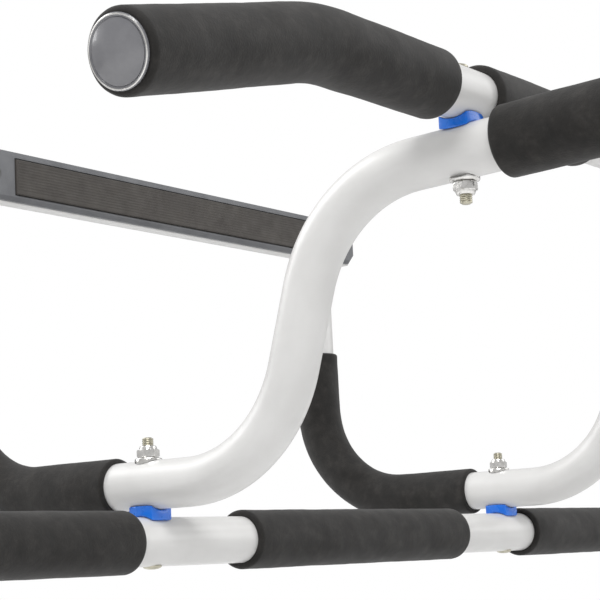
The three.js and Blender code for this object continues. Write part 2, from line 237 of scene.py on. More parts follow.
@dataclass(frozen=True)
class PowderCoat:
    """Light grey powder coat: satin gloss, a faint orange peel and slightly uneven tone."""

    dark: Sequence[float] = (0.575, 0.570, 0.560)
    light: Sequence[float] = (0.645, 0.640, 0.630)
    peel_per_metre: float = 420.0

    def build(self) -> bpy.types.Material:
        """Returns the finish as a material."""
        kit = NodeKit("powder_coat_grey")
        kit.wire(kit.ramp(kit.noise(18.0), [(0.3, self.dark), (0.7, self.light)]), "Base Color")
        kit.wire(kit.range(kit.noise(60.0), 0.30, 0.40), "Roughness")
        kit.wire(kit.bump(kit.noise(self.peel_per_metre, 2.0), 0.0004, 0.16), "Normal")
        kit.put("Specular IOR Level", 0.5)
        kit.put("Coat Weight", 0.25)
        kit.put("Coat Roughness", 0.18)
        return kit.material


@dataclass(frozen=True)
class GripFoam:
    """Black closed-cell foam: matte, mottled, finely pored, paler where it has been rubbed."""

    dark: Sequence[float] = (0.0060, 0.0054, 0.0048)
    middle: Sequence[float] = (0.0125, 0.0112, 0.0100)
    rubbed: Sequence[float] = (0.0270, 0.0245, 0.0222)
    pores_per_metre: float = 900.0

    def build(self) -> bpy.types.Material:
        """Returns the finish as a material."""
        kit = NodeKit("grip_foam_black")
        mottle = kit.noise(95.0, 6.0, 0.68)
        stops = [(0.30, self.dark), (0.52, self.middle), (0.76, self.rubbed)]
        kit.wire(kit.ramp(mottle, stops), "Base Color")
        kit.wire(kit.range(kit.noise(40.0), 0.72, 0.92), "Roughness")
        lumps = kit.bump(kit.noise(180.0, 4.0, 0.6), 0.0007, 0.22)
        kit.wire(kit.bump(kit.cells(self.pores_per_metre), 0.0003, 0.30, lumps), "Normal")
        kit.put("Specular IOR Level", 0.30)
        kit.put("Sheen Weight", 0.10)
        kit.put("Sheen Roughness", 0.55)
        return kit.material


@dataclass(frozen=True)
class MouldedPlastic:
    """A moulded plastic with a fine grain and slightly uneven gloss."""

    name: str
    dark: Sequence[float]
    light: Sequence[float]
    gloss: tuple[float, float]
    grain_per_metre: float
    grain_depth: float
    coat: float = 0.0
    scatter: float = 0.0

    def build(self) -> bpy.types.Material:
        """Returns the finish as a material."""
        kit = NodeKit(self.name)
        kit.wire(kit.ramp(kit.noise(45.0, 4.0), [(0.32, self.dark), (0.68, self.light)]), "Base Color")
        kit.wire(kit.range(kit.noise(110.0), *self.gloss), "Roughness")
        kit.wire(kit.bump(kit.noise(self.grain_per_metre, 3.0), self.grain_depth, 0.4), "Normal")
        kit.put("Coat Weight", self.coat)
        kit.put("Coat Roughness", 0.12)
        kit.put("Subsurface Weight", self.scatter)
        kit.put("Subsurface Scale", 0.002)
        return kit.material


@dataclass(frozen=True)
class PlatedMetal:
    """Plated steel with fine turning marks and a thin haze."""

    name: str
    dark: Sequence[float]
    light: Sequence[float]
    gloss: tuple[float, float]

    def build(self) -> bpy.types.Material:
        """Returns the finish as a material."""
        kit = NodeKit(self.name)
        kit.wire(kit.ramp(kit.noise(300.0, 5.0), [(0.3, self.dark), (0.7, self.light)]), "Base Color")
        kit.wire(kit.range(kit.noise(500.0), *self.gloss), "Roughness")
        kit.wire(kit.bump(kit.noise(1500.0, 2.0), 0.0001, 0.25), "Normal")
        kit.put("Metallic", 1.0)
        return kit.material


FINISHES = {
    Slot.PAINT: PowderCoat(),
    Slot.FOAM: GripFoam(),
    Slot.BLUE: MouldedPlastic("saddle_blue", (0.002, 0.11, 0.56), (0.004, 0.16, 0.70),
                              (0.22, 0.32), 700.0, 0.0001, 0.4, 0.05),
    Slot.CHROME: PlatedMetal("nut_plating", (0.62, 0.61, 0.59), (0.80, 0.79, 0.77), (0.14, 0.28)),
    Slot.ZINC: PlatedMetal("bolt_zinc", (0.42, 0.40, 0.32), (0.62, 0.59, 0.48), (0.25, 0.42)),
    Slot.PLUG: MouldedPlastic("plug_grey", (0.115, 0.115, 0.125), (0.165, 0.165, 0.175),
                              (0.16, 0.26), 900.0, 0.0001, 0.6),
    Slot.COVER: MouldedPlastic("cover_grey", (0.095, 0.098, 0.105), (0.125, 0.128, 0.136),
                               (0.42, 0.55), 1400.0, 0.0002),
    Slot.PAD: MouldedPlastic("pad_rubber", (0.040, 0.035, 0.031), (0.056, 0.050, 0.044),
                             (0.62, 0.78), 1100.0, 0.0003),
}


# ---------------------------------------------------------------- geometry


@dataclass(frozen=True)
class Leg:
    """One stretch of a bent tube: straight when its turn is zero.

    Attributes:
        length: The stretch's length along the centreline.
        turn: How far it turns, in radians.
    """

    length: float
    turn: float = 0.0

    @staticmethod
    def bend(radius: float, degrees: float) -> "Leg":
        """Returns the bend with this radius and signed angle."""
        turn = math.radians(degrees)
        return Leg(radius * abs(turn), turn)


@dataclass
class Centreline:
    """A tube's centreline in one plane.

    Attributes:
        start: Its first point.
        along: Its first direction.
        across: The direction that a positive bend turns towards.
        legs: Its stretches in order.
    """

    start: Vector
    along: Vector
    across: Vector
    legs: Sequence[Leg]

    @property
    def length(self) -> float:
        """Returns the whole length."""
        return sum(leg.length for leg in self.legs)

    def heading(self, angle: float) -> Vector:
        """Returns the direction at an angle from the first one."""
        return self.along * math.cos(angle) + self.across * math.sin(angle)

    def at(self, distance: float) -> tuple[Vector, Vector]:
        """Finds a point on the centreline.

        Args:
            distance: The length from the start.

        Returns:
            The point and the direction there.
        """
        point = self.start.copy()
        angle = 0.0
        left = distance
        for index, leg in enumerate(self.legs):
            last = index == len(self.legs) - 1
            run = left if last else min(left, leg.length)
            turned = leg.turn * run / leg.length
            if abs(turned) > 1e-9:
                chord = 2 * run / abs(turned) * math.sin(abs(turned) / 2)
                point = point + self.heading(angle + turned / 2) * chord
            else:
                point = point + self.heading(angle) * run
            angle += turned
            left -= run
            if left <= 0:
                break
        return point, self.heading(angle)

    def reach(self, axis: int, value: float, steps: int = 4000) -> float:
        """Finds where the centreline first passes a coordinate.

        Args:
            axis: 0, 1 or 2 for X, Y or Z.
            value: The coordinate.
            steps: How finely to look.

        Returns:
            The length from the start.
        """
        before = self.at(0.0)[0][axis] - value
        for step in range(1, steps + 1):
            distance = self.length * step / steps
            after = self.at(distance)[0][axis] - value
            if before * after <= 0 and before != after:
                return distance - self.length / steps * after / (after - before)
            before = after
        return self.length

    def ring(self, distance: float, radius: float, sides: int,
             wobble: Callable[[Vector], float] | None = None) -> Ring:
        """Makes a ring of points round the centreline.

        Args:
            distance: The ring's place along the centreline.
            radius: The ring's radius.
            sides: How many points it has.
            wobble: Adds this to the radius at each point.

        Returns:
            The points.
        """
        centre, direction = self.at(distance)
        first = self.along.cross(self.across).normalized()
        second = direction.cross(first)
        points = []
        for index in range(sides):
            angle = FULL_TURN * index / sides
            spoke = first * math.cos(angle) + second * math.sin(angle)
            point = centre + spoke * radius
            if wobble is not None:
                point = point + spoke * wobble(point)
            points.append(point)
        return points


def spread(start: float, end: float, step: float) -> list[float]:
    """Returns evenly spaced values from start to end, about a step apart."""
    count = max(1, round(abs(end - start) / step))
    return [start + (end - start) * index / count for index in range(count + 1)]


def mesh_piece(name: str, points: Sequence[Vector], faces: Sequence[Sequence[int]],
               crease: float = 40.0) -> bpy.types.Object:
    """Makes an object from points and faces, with its faces turned outwards.

    Args:
        name: The object's name.
        points: Its points in the frame's coordinates.
        faces: Its faces as lists of point numbers.
        crease: Edges sharper than this many degrees stay sharp in shading.

    Returns:
        The object, linked to the scene.
    """
    mesh = bpy.data.meshes.new(name)
    mesh.from_pydata([tuple(point) for point in points], [], [tuple(face) for face in faces])
    work = bmesh.new()
    work.from_mesh(mesh)
    bmesh.ops.remove_doubles(work, verts=work.verts, dist=1e-7)
    bmesh.ops.recalc_face_normals(work, faces=work.faces)
    work.to_mesh(mesh)
    work.free()
    mesh.shade_smooth()
    mesh.set_sharp_from_angle(angle=math.radians(crease))
    piece = bpy.data.objects.new(name, mesh)
    bpy.context.scene.collection.objects.link(piece)
    return piece


def ring_piece(name: str, rings: Sequence[Ring], joined: bool = False,
               crease: float = 40.0) -> bpy.types.Object:
    """Skins a row of rings into a closed surface.

    Args:
        name: The object's name.
        rings: Rings with the same number of points.
        joined: Joins the last ring to the first; otherwise both ends are capped.
        crease: Edges sharper than this many degrees stay sharp in shading.

    Returns:
        The object.
    """
    sides = len(rings[0])
    points = [point for ring in rings for point in ring]
    rows = len(rings) if joined else len(rings) - 1
    faces: list[Sequence[int]] = []
    for row in range(rows):
        first = row * sides
        second = (row + 1) % len(rings) * sides
        for index in range(sides):
            after = (index + 1) % sides
            faces.append((first + index, first + after, second + after, second + index))
    if not joined:
        faces.append(tuple(reversed(range(sides))))
        last = (len(rings) - 1) * sides
        faces.append(tuple(range(last, last + sides)))
    return mesh_piece(name, points, faces, crease)


def turned_piece(name: str, base: Vector, axis: Vector, profile: Sequence[Station], sides: int = 72,
                 outline: Callable[[float, float], float] | None = None, crease: float = 30.0,
                 joined: bool = False) -> bpy.types.Object:
    """Turns a profile about an axis.

    Args:
        name: The object's name.
        base: The point on the axis where heights start.
        axis: The axis's direction.
        profile: Pairs of height along the axis and radius.
        sides: How many points a ring has.
        outline: Gives the radius at an angle for a profile radius, for shapes that aren't round.
        crease: Edges sharper than this many degrees stay sharp in shading.
        joined: Closes the profile on itself, for a hoop.

    Returns:
        The object.
    """
    up = axis.normalized()
    first = up.orthogonal().normalized()
    second = up.cross(first)
    rings = []
    for height, radius in profile:
        ring = []
        for index in range(sides):
            angle = FULL_TURN * index / sides
            reach = radius if outline is None else outline(radius, angle)
            spoke = first * math.cos(angle) + second * math.sin(angle)
            ring.append(base + up * height + spoke * reach)
        rings.append(ring)
    return ring_piece(name, rings, joined, crease)


def hexagon(radius: float, angle: float) -> float:
    """Returns a nut's or bolt head's reach at an angle, cut back to a radius."""
    sector = (angle + math.pi / 6) % (math.pi / 3) - math.pi / 6
    return min(radius, HEXAGON_REACH / math.cos(sector))


def slab_piece(name: str, across: Sequence[float], along: Sequence[float],
               place: Callable[[float, float], tuple[Vector, Vector]],
               crease: float = 35.0) -> bpy.types.Object:
    """Makes a closed slab from a front and a back point for each grid place.

    Args:
        name: The object's name.
        across: The grid's first coordinates.
        along: The grid's second coordinates.
        place: Gives the front and back point at a grid place.
        crease: Edges sharper than this many degrees stay sharp in shading.

    Returns:
        The object.
    """
    pairs = [[place(u, v) for v in along] for u in across]
    wide, long = len(across), len(along)
    points = [pairs[i][j][0] for i in range(wide) for j in range(long)]
    points += [pairs[i][j][1] for i in range(wide) for j in range(long)]
    back = wide * long
    faces: list[Sequence[int]] = []
    for i in range(wide - 1):
        for j in range(long - 1):
            here = i * long + j
            faces.append((here, here + 1, here + long + 1, here + long))
            faces.append((back + here, back + here + long, back + here + long + 1, back + here + 1))
    border = [j for j in range(long)]
    border += [i * long + long - 1 for i in range(1, wide)]
    border += [(wide - 1) * long + j for j in range(long - 2, -1, -1)]
    border += [i * long for i in range(wide - 2, 0, -1)]
    for index, here in enumerate(border):
        after = border[(index + 1) % len(border)]
        faces.append((here, after, back + after, back + here))
    return mesh_piece(name, points, faces, crease)


def corners(node: str) -> tuple[Vector, Vector]:
    """Returns the lowest and highest corner of a CAD node."""
    low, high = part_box(node)
    return Vector(low), Vector(high)


def middle(node: str) -> Vector:
    """Returns the centre of a CAD node's box."""
    low, high = corners(node)
    return (low + high) / 2


# ---------------------------------------------------------------- workshop


@dataclass
class Workshop:
    """Holds the materials and dresses every finished piece.

    Attributes:
        materials: The material of each slot.
    """

    materials: dict[Slot, bpy.types.Material] = field(default_factory=dict)

    def prepare(self) -> None:
        """Builds every finish once."""
        self.materials = {slot: finish.build() for slot, finish in FINISHES.items()}

    def finish(self, piece: bpy.types.Object, slot: Slot, *nodes: str) -> bpy.types.Object:
        """Dresses a piece, attaches it to the body and hides the CAD nodes that it stands for.

        Args:
            piece: The finished object.
            slot: Its material slot.
            nodes: The CAD nodes that it replaces.

        Returns:
            The same object.
        """
        piece.data.materials.clear()
        piece.data.materials.append(self.materials[slot])
        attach(piece, BODY)
        if nodes:
            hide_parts(*nodes)
        LOG.info("%s: %s, %d faces", piece.name, slot.value, len(piece.data.polygons))
        return piece


# ---------------------------------------------------------------- tubes and foam


def foam_wobble(point: Vector) -> float:
    """Returns how far soft foam's skin stands in or out at a point."""
    slow = noise.noise(point * 32.0)
    fast = noise.noise(point * 120.0 + Vector((7.0, 3.0, 1.0)))
    return 0.00028 * slow + 0.00012 * fast


@dataclass
class BentTube:
    """A steel tube of round section.

    Attributes:
        name: The finished piece's name.
        node: The CAD node that it replaces.
        line: Its centreline.
        radius: Its outer radius.
        sides: Points round its section.
        step: The spacing of its rings.
        easing: The rounding at its ends.
    """

    name: str
    node: str
    line: Centreline
    radius: float
    sides: int = 72
    step: float = 0.004
    easing: float = 0.0006

    def build(self, shop: Workshop) -> bpy.types.Object:
        """Builds the tube and hands it to the workshop."""
        end = self.line.length
        places = spread(self.easing, end - self.easing, self.step)
        inside = self.radius - self.easing
        rings = [self.line.ring(0.0, inside, self.sides)]
        rings += [self.line.ring(place, self.radius, self.sides) for place in places]
        rings.append(self.line.ring(end, inside, self.sides))
        return shop.finish(ring_piece(self.name, rings), Slot.PAINT, self.node)


@dataclass
class FoamSleeve:
    """A foam sleeve pushed over a tube, with soft rounded ends.

    Attributes:
        node: The CAD node that it replaces.
        line: The tube's centreline.
        start: Where it starts along the tube.
        end: Where it ends.
        radius: Its outer radius.
        bore: Its inner radius.
        rounding: The radius of its rounded ends.
        sides: Points round its section.
        step: The spacing of its outer rings.
        inner_step: The spacing of the rings in its bore.
        soft_share: The most that the rounding takes of its thickness.
    """

    node: str
    line: Centreline
    start: float
    end: float
    radius: float
    bore: float = SLEEVE_BORE
    rounding: float = 0.0030
    sides: int = 80
    step: float = 0.0028
    inner_step: float = 0.008
    soft_share: float = 0.85

    def outside(self) -> list[Station]:
        """Returns the outer skin's stations, from one rounded end to the other."""
        soft = min(self.rounding, (self.radius - self.bore) * self.soft_share)
        shoulder = self.radius - soft
        curve = [(soft * (1 - math.cos(rise)), shoulder + soft * math.sin(rise))
                 for rise in spread(0.0, math.pi / 2, math.pi / 12)]
        skin = [(self.start + inset, reach) for inset, reach in curve]
        level = spread(self.start + soft, self.end - soft, self.step)[1:-1]
        skin += [(place, self.radius) for place in level]
        skin += [(self.end - inset, reach) for inset, reach in reversed(curve)]
        return skin

    def build(self, shop: Workshop) -> bpy.types.Object:
        """Builds the sleeve and hands it to the workshop."""
        inside = [(place, self.bore) for place in spread(self.end, self.start, self.inner_step)]
        rings = [self.line.ring(place, reach, self.sides, foam_wobble) for place, reach in self.outside()]
        rings += [self.line.ring(place, reach, self.sides) for place, reach in inside]
        piece = shop.finish(ring_piece(f"grip_{self.node}", rings, joined=True), Slot.FOAM, self.node)
        return piece


@dataclass
class EndPlug:
    """A pressed-in plastic plug with a domed face and a raised bright rim.

    Attributes:
        node: The CAD node that it replaces.
        end: The tube's end point.
        outwards: The direction out of the tube.
        flange: Its radius.
        lip: How far its rim stands from the tube's end.
        dome: How far its face bulges past the rim.
        bead: The radius of the bright bead on its rim.
        stub_depth: How far its stub reaches into the tube.
        stub_radius: The stub's radius at its inner end.
        dome_rings: Rings across its domed face.
        sides: Points round its section.
    """

    node: str
    end: Vector
    outwards: Vector
    flange: float
    lip: float = 0.0020
    dome: float = 0.0030
    bead: float = 0.00045
    stub_depth: float = 0.009
    stub_radius: float = 0.0130
    dome_rings: int = 12
    sides: int = 96

    def build(self, shop: Workshop) -> bpy.types.Object:
        """Builds the plug and hands it to the workshop."""
        rim = self.flange
        profile = [(-self.stub_depth, self.stub_radius), (0.0003, self.stub_radius + 0.0006)]
        profile += [(0.0003, rim - 0.0004), (0.0007, rim)]
        profile += [(self.lip - 0.0006, rim), (self.lip, rim - 0.0006), (self.lip, rim - 0.0016)]
        profile += [(self.lip - 0.0005, rim - 0.0022)]
        inner = rim - 0.0023
        for index in range(self.dome_rings):
            share = 1 - index / self.dome_rings
            rise = self.dome * (1 - share ** 2)
            profile.append((self.lip - 0.0002 + rise, max(inner * share, 0.0002)))
        plug = turned_piece(f"end_{self.node}", self.end, self.outwards, profile, self.sides)
        shop.finish(plug, Slot.PLUG, self.node)
        turns = spread(0.0, FULL_TURN, FULL_TURN / 10)[:-1]
        hoop = [(self.lip - 0.0003 + self.bead * math.sin(turn), rim - 0.0008 + self.bead * math.cos(turn))
                for turn in turns]
        ring = turned_piece(f"rim_{self.node}", self.end, self.outwards, hoop, self.sides, joined=True)
        return shop.finish(ring, Slot.CHROME)


# ---------------------------------------------------------------- crossings


@dataclass
class Crossing:
    """One bolted crossing of two tubes: saddle, washers, nut, bolt and thread.

    Attributes:
        place: The crossing's name, as in the CAD nodes.
        nut_on_top: Whether the nut is above.
        tube: The tubes' outer radius.
        lower_gap: The distance between the two tubes' axes at a lower crossing.
        upper_gap: That distance at an upper crossing.
        washer: The washer's outer radius.
        washer_rise: How high the washer stands on the tube.
        bolt: The bolt's radius.
        head_rise: How high the bolt's low head stands.
        pitch: The distance from thread ridge to thread ridge.
        thread_turns: How many thread ridges there are.
        sides: Points round the washer.
    """

    place: str
    nut_on_top: bool
    tube: float
    lower_gap: float = 0.0367
    upper_gap: float = 0.0352
    washer: float = 0.0090
    washer_rise: float = 0.0018
    bolt: float = 0.0039
    head_rise: float = 0.0018
    pitch: float = 0.00125
    thread_turns: int = 5
    sides: int = 72

    @property
    def away(self) -> Vector:
        """Returns the direction from the tubes to the nut."""
        return Vector((0.0, 0.0, 1.0 if self.nut_on_top else -1.0))

    @property
    def on_lower_bar(self) -> bool:
        """Returns whether this crossing is on the lower crossbar."""
        return self.place.startswith("lower")

    def build(self, shop: Workshop) -> None:
        """Builds every piece of the crossing."""
        self.build_saddle(shop)
        self.build_washer(shop)
        self.build_nut(shop)
        self.build_bolt(shop)
        self.build_thread(shop)

    def build_saddle(self, shop: Workshop) -> None:
        """Builds the blue saddle that spaces the two tubes."""
        node = f"saddle_{self.place}"
        low, high = corners(node)
        centre = (low + high) / 2
        half = (high - low) / 2
        clear = self.tube + 0.0003
        gap = self.lower_gap if self.on_lower_bar else self.upper_gap
        below = centre.z - gap / 2
        above = centre.z + gap / 2
        edge = 0.0016

        def place(u: float, v: float) -> tuple[Vector, Vector]:
            """Returns the saddle's top and bottom point at a place from -1 to 1."""
            x = half.x * u * math.sqrt(1 - 0.24 * v * v)
            y = half.y * v * math.sqrt(1 - 0.24 * u * u)
            over, under = (x, y) if self.on_lower_bar else (y, x)
            top_roof = above - math.sqrt(max(clear ** 2 - over ** 2, 0.0))
            floor = below + math.sqrt(max(clear ** 2 - under ** 2, 0.0))
            inset = min(1.0 - abs(u), 1.0 - abs(v)) * half.x
            soften = edge - math.sqrt(max(edge ** 2 - max(edge - inset, 0.0) ** 2, 0.0))
            top = min(centre.z + half.z, top_roof) - soften * 0.8
            bottom = max(centre.z - half.z, floor) + soften * 0.8
            if bottom > top:
                top = bottom = (top + bottom) / 2
                top += 0.0001
            return centre + Vector((x, y, top - centre.z)), centre + Vector((x, y, bottom - centre.z))

        grid = [math.sin(math.pi / 2 * step) for step in spread(-1.0, 1.0, 2 / 44)]
        shop.finish(slab_piece(f"blue_{node}", grid, grid, place, 50.0), Slot.BLUE, node)

    def build_washer(self, shop: Workshop) -> None:
        """Builds the curved washer that sits on the round tube under the nut."""
        node = f"washer_{self.place}"
        low, high = corners(node)
        centre = (low + high) / 2
        up = self.away.z
        outer = high.z if up > 0 else low.z
        face = outer - up * self.washer_rise
        radii = [0.0046, 0.0052, 0.0074, 0.0086, self.washer]
        drops = [0.0, 0.0, 0.0001, 0.0004, 0.0009]
        rings = [self.washer_ring(centre, outer - up * drop, reach) for reach, drop in zip(radii, drops)]
        rings += [self.washer_seat(centre, face, up, reach) for reach in reversed(radii)]
        shop.finish(ring_piece(f"plated_{node}", rings, joined=True), Slot.CHROME, node)

    def washer_ring(self, centre: Vector, height: float, reach: float) -> Ring:
        """Returns a level ring at a height."""
        spokes = [FULL_TURN * index / self.sides for index in range(self.sides)]
        return [Vector((centre.x + reach * math.cos(angle), centre.y + reach * math.sin(angle), height))
                for angle in spokes]

    def washer_seat(self, centre: Vector, face: float, up: float, reach: float) -> Ring:
        """Returns a ring that lies on the round tube."""
        ring = []
        for index in range(self.sides):
            angle = FULL_TURN * index / self.sides
            x, y = reach * math.cos(angle), reach * math.sin(angle)
            over = x if self.on_lower_bar else y
            sag = self.tube - math.sqrt(self.tube ** 2 - over ** 2)
            ring.append(Vector((centre.x + x, centre.y + y, face + up * (0.0003 - min(sag, 0.0030)))))
        return ring

    def build_nut(self, shop: Workshop) -> None:
        """Builds the locking nut: a chamfered hexagon with a domed collar."""
        node = f"nut_{self.place}"
        low, high = corners(node)
        centre = (low + high) / 2
        base = Vector((centre.x, centre.y, low.z if self.nut_on_top else high.z))
        height = high.z - low.z
        body = height * 0.68
        profile = [(0.0, 0.0067), (0.0005, 0.0073), (0.0010, 0.0080), (body - 0.0010, 0.0080)]
        profile += [(body - 0.0004, 0.0073), (body, 0.0064), (body + 0.0001, 0.0060)]
        profile += [(body + 0.0010, 0.0058), (height - 0.0008, 0.0056), (height - 0.0002, 0.0052)]
        profile += [(height, 0.0046), (height - 0.0004, 0.0041), (height - 0.0010, 0.0039)]
        nut = turned_piece(f"plated_{node}", base, self.away, profile, 96, hexagon, 24.0)
        shop.finish(nut, Slot.CHROME, node)

    def build_bolt(self, shop: Workshop) -> None:
        """Builds the bolt: a low domed head and a shank with its thread's root."""
        node = f"bolt_{self.place}"
        low, high = corners(node)
        centre = (low + high) / 2
        base = Vector((centre.x, centre.y, low.z if self.nut_on_top else high.z))
        length = high.z - low.z
        root = self.bolt - 0.0006
        rim = self.head_rise + 0.0006
        plain = length * 0.6
        profile = [(0.0, 0.0002), (0.0001, 0.0020), (0.0004, 0.0038), (0.0010, 0.0054)]
        profile += [(rim - 0.0008, 0.0061), (rim, 0.0062), (rim + 0.0004, 0.0060)]
        profile += [(rim + 0.0004, self.bolt), (plain, self.bolt), (plain + 0.0008, root)]
        profile += [(length - 0.0010, root), (length, root - 0.0009), (length, 0.0002)]
        bolt = turned_piece(f"zinc_{node}", base, self.away, profile, 64)
        shop.finish(bolt, Slot.ZINC, node)

    def build_thread(self, shop: Workshop) -> None:
        """Builds the thread ridges on the bolt's free end with Geometry Nodes."""
        low, high = corners(f"bolt_{self.place}")
        centre = (low + high) / 2
        tip = high.z if self.nut_on_top else low.z
        inset = 0.0012 + self.pitch * (self.thread_turns - 1)
        start = Vector((centre.x, centre.y, tip)) - self.away * inset
        rows = RidgeRow(f"thread_{self.place}", self.bolt - 0.0007, 0.0006, self.pitch, self.thread_turns)
        piece = rows.build(shop.materials[Slot.ZINC])
        turn = Matrix.Identity(4) if self.nut_on_top else Matrix.Rotation(math.pi, 4, "X")
        piece.data.transform(Matrix.Translation(start) @ turn)
        shop.finish(piece, Slot.ZINC)


@dataclass
class RidgeRow:
    """A row of equal ridges round a rod, made with Geometry Nodes.

    Attributes:
        name: The piece's name.
        radius: The rod's radius under the ridges.
        height: How far a ridge stands out.
        pitch: The distance from ridge to ridge.
        count: How many ridges there are.
    """

    name: str
    radius: float
    height: float
    pitch: float
    count: int

    def tree(self, material: bpy.types.Material) -> bpy.types.NodeTree:
        """Builds the node tree with its named inputs.

        Args:
            material: The material that the ridges get.

        Returns:
            The node tree.
        """
        tree = bpy.data.node_groups.new(f"ridges_{self.name}", "GeometryNodeTree")
        tree.interface.new_socket("Geometry", in_out="INPUT", socket_type="NodeSocketGeometry")
        for label in ("Ridge Radius", "Ridge Height", "Pitch"):
            tree.interface.new_socket(label, in_out="INPUT", socket_type="NodeSocketFloat")
        tree.interface.new_socket("Count", in_out="INPUT", socket_type="NodeSocketInt")
        tree.interface.new_socket("Geometry", in_out="OUTPUT", socket_type="NodeSocketGeometry")
        make = tree.nodes.new
        entry = make("NodeGroupInput")
        circle = make("GeometryNodeCurvePrimitiveCircle")
        circle.inputs["Resolution"].default_value = 40
        section = make("GeometryNodeCurvePrimitiveCircle")
        section.inputs["Resolution"].default_value = 6
        skin = make("GeometryNodeCurveToMesh")
        offset = make("ShaderNodeCombineXYZ")
        row = make("GeometryNodeMeshLine")
        place = make("GeometryNodeInstanceOnPoints")
        solid = make("GeometryNodeRealizeInstances")
        paint = make("GeometryNodeSetMaterial")
        paint.inputs["Material"].default_value = material
        leave = make("NodeGroupOutput")
        wires = [
            (entry.outputs["Ridge Radius"], circle.inputs["Radius"]),
            (entry.outputs["Ridge Height"], section.inputs["Radius"]),
            (circle.outputs["Curve"], skin.inputs["Curve"]),
            (section.outputs["Curve"], skin.inputs["Profile Curve"]),
            (entry.outputs["Pitch"], offset.inputs["Z"]),
            (offset.outputs["Vector"], row.inputs["Offset"]),
            (entry.outputs["Count"], row.inputs["Count"]),
            (row.outputs["Mesh"], place.inputs["Points"]),
            (skin.outputs["Mesh"], place.inputs["Instance"]),
            (place.outputs["Instances"], solid.inputs["Geometry"]),
            (solid.outputs["Geometry"], paint.inputs["Geometry"]),
            (paint.outputs["Geometry"], leave.inputs["Geometry"]),
        ]
        for source, target in wires:
            tree.links.new(source, target)
        return tree

    def build(self, material: bpy.types.Material) -> bpy.types.Object:
        """Runs the tree and returns its result as a plain mesh object.

        Args:
            material: The material that the ridges get.

        Returns:
            The object, at the origin.
        """
        carrier = bpy.data.objects.new(f"{self.name}_carrier", bpy.data.meshes.new(f"{self.name}_carrier"))
        bpy.context.scene.collection.objects.link(carrier)
        modifier = carrier.modifiers.new("ridges", "NODES")
        modifier.node_group = self.tree(material)
        values = {"Ridge Radius": self.radius, "Ridge Height": self.height,
                  "Pitch": self.pitch, "Count": self.count}
        for item in modifier.node_group.interface.items_tree:
            if item.in_out == "INPUT" and item.name in values:
                modifier[item.identifier] = values[item.name]
        graph = bpy.context.evaluated_depsgraph_get()
        mesh = bpy.data.meshes.new_from_object(carrier.evaluated_get(graph))
        bpy.data.objects.remove(carrier)
        mesh.shade_smooth()
        piece = bpy.data.objects.new(self.name, mesh)
        bpy.context.scene.collection.objects.link(piece)
        return piece


# ---------------------------------------------------------------- sub-assemblies


@dataclass
class LowerCrossbar:
    """The straight lower crossbar with its three foam sleeves and two plugs."""

    node: str = "lower_bar"

    def line(self) -> Centreline:
        """Returns the bar's centreline, worked out from its CAD box."""
        low, high = corners(self.node)
        start = Vector((low.x, (low.y + high.y) / 2, (low.z + high.z) / 2))
        return Centreline(start, Vector((1, 0, 0)), Vector((0, 0, 1)), [Leg(high.x - low.x)])

    def build(self, shop: Workshop) -> None:
        """Builds the bar and everything on it."""
        line = self.line()
        low, high = corners(self.node)
        BentTube("tube_lower_bar", self.node, line, (high.z - low.z) / 2).build(shop)
        for place in ("left", "centre", "right"):
            node = f"foam_lower_{place}"
            foam_low, foam_high = corners(node)
            radius = (foam_high.z - foam_low.z) / 2
            FoamSleeve(node, line, foam_low.x - low.x, foam_high.x - low.x, radius).build(shop)
        for side in Side:
            node = f"plug_lower_{side.value}"
            flange = (corners(node)[1].z - corners(node)[0].z) / 2
            end = Vector((low.x if side is Side.LEFT else high.x, line.start.y, line.start.z))
            EndPlug(node, end, Vector((side.sign, 0, 0)), flange).build(shop)


@dataclass
class UpperCrossbar:
    """The upper crossbar: level in the middle, with drooping ends.

    Attributes:
        node: The bar's CAD node.
        straight: Half the level stretch's length.
        bend_radius: The radius of the two bends.
        droop: The drooping ends' angle in degrees.
        end_length: The straight length of each drooping end.
        foam_radius: The outer radius of its foam sleeves.
    """

    node: str = "upper_bar"
    straight: float = 0.3568
    bend_radius: float = 0.1508
    droop: float = 13.8
    end_length: float = 0.1364
    foam_radius: float = 0.0209

    def line(self) -> Centreline:
        """Returns the bar's centreline from its left end to its right end."""
        low, high = corners(self.node)
        radius = (high.y - low.y) / 2
        angle = math.radians(self.droop)
        reach = self.straight + self.bend_radius * math.sin(angle) + self.end_length * math.cos(angle)
        fall = self.bend_radius * (1 - math.cos(angle)) + self.end_length * math.sin(angle)
        start = Vector((-reach, (low.y + high.y) / 2, high.z - radius - fall))
        along = Vector((math.cos(angle), 0, math.sin(angle)))
        across = Vector((math.sin(angle), 0, -math.cos(angle)))
        bend = Leg.bend(self.bend_radius, self.droop)
        return Centreline(start, along, across, [Leg(self.end_length), bend, Leg(2 * self.straight), bend,
                                                 Leg(self.end_length)])

    def build(self, shop: Workshop) -> None:
        """Builds the bar and everything on it."""
        line = self.line()
        low, high = corners(self.node)
        BentTube("tube_upper_bar", self.node, line, (high.y - low.y) / 2).build(shop)
        spans = {
            "foam_upper_left": (0.0, line.reach(0, corners("foam_upper_left")[1].x)),
            "foam_upper_right": (line.reach(0, corners("foam_upper_right")[0].x), line.length),
        }
        for side in Side:
            node = f"foam_upper_inner_{side.value}"
            foam_low, foam_high = corners(node)
            spans[node] = (line.reach(0, foam_low.x), line.reach(0, foam_high.x))
        for node, (start, end) in spans.items():
            FoamSleeve(node, line, start, end, self.foam_radius).build(shop)
        for side in Side:
            distance = 0.0 if side is Side.LEFT else line.length
            end, direction = line.at(distance)
            EndPlug(f"plug_upper_{side.value}", end, direction * side.sign, PLUG_FLANGE).build(shop)


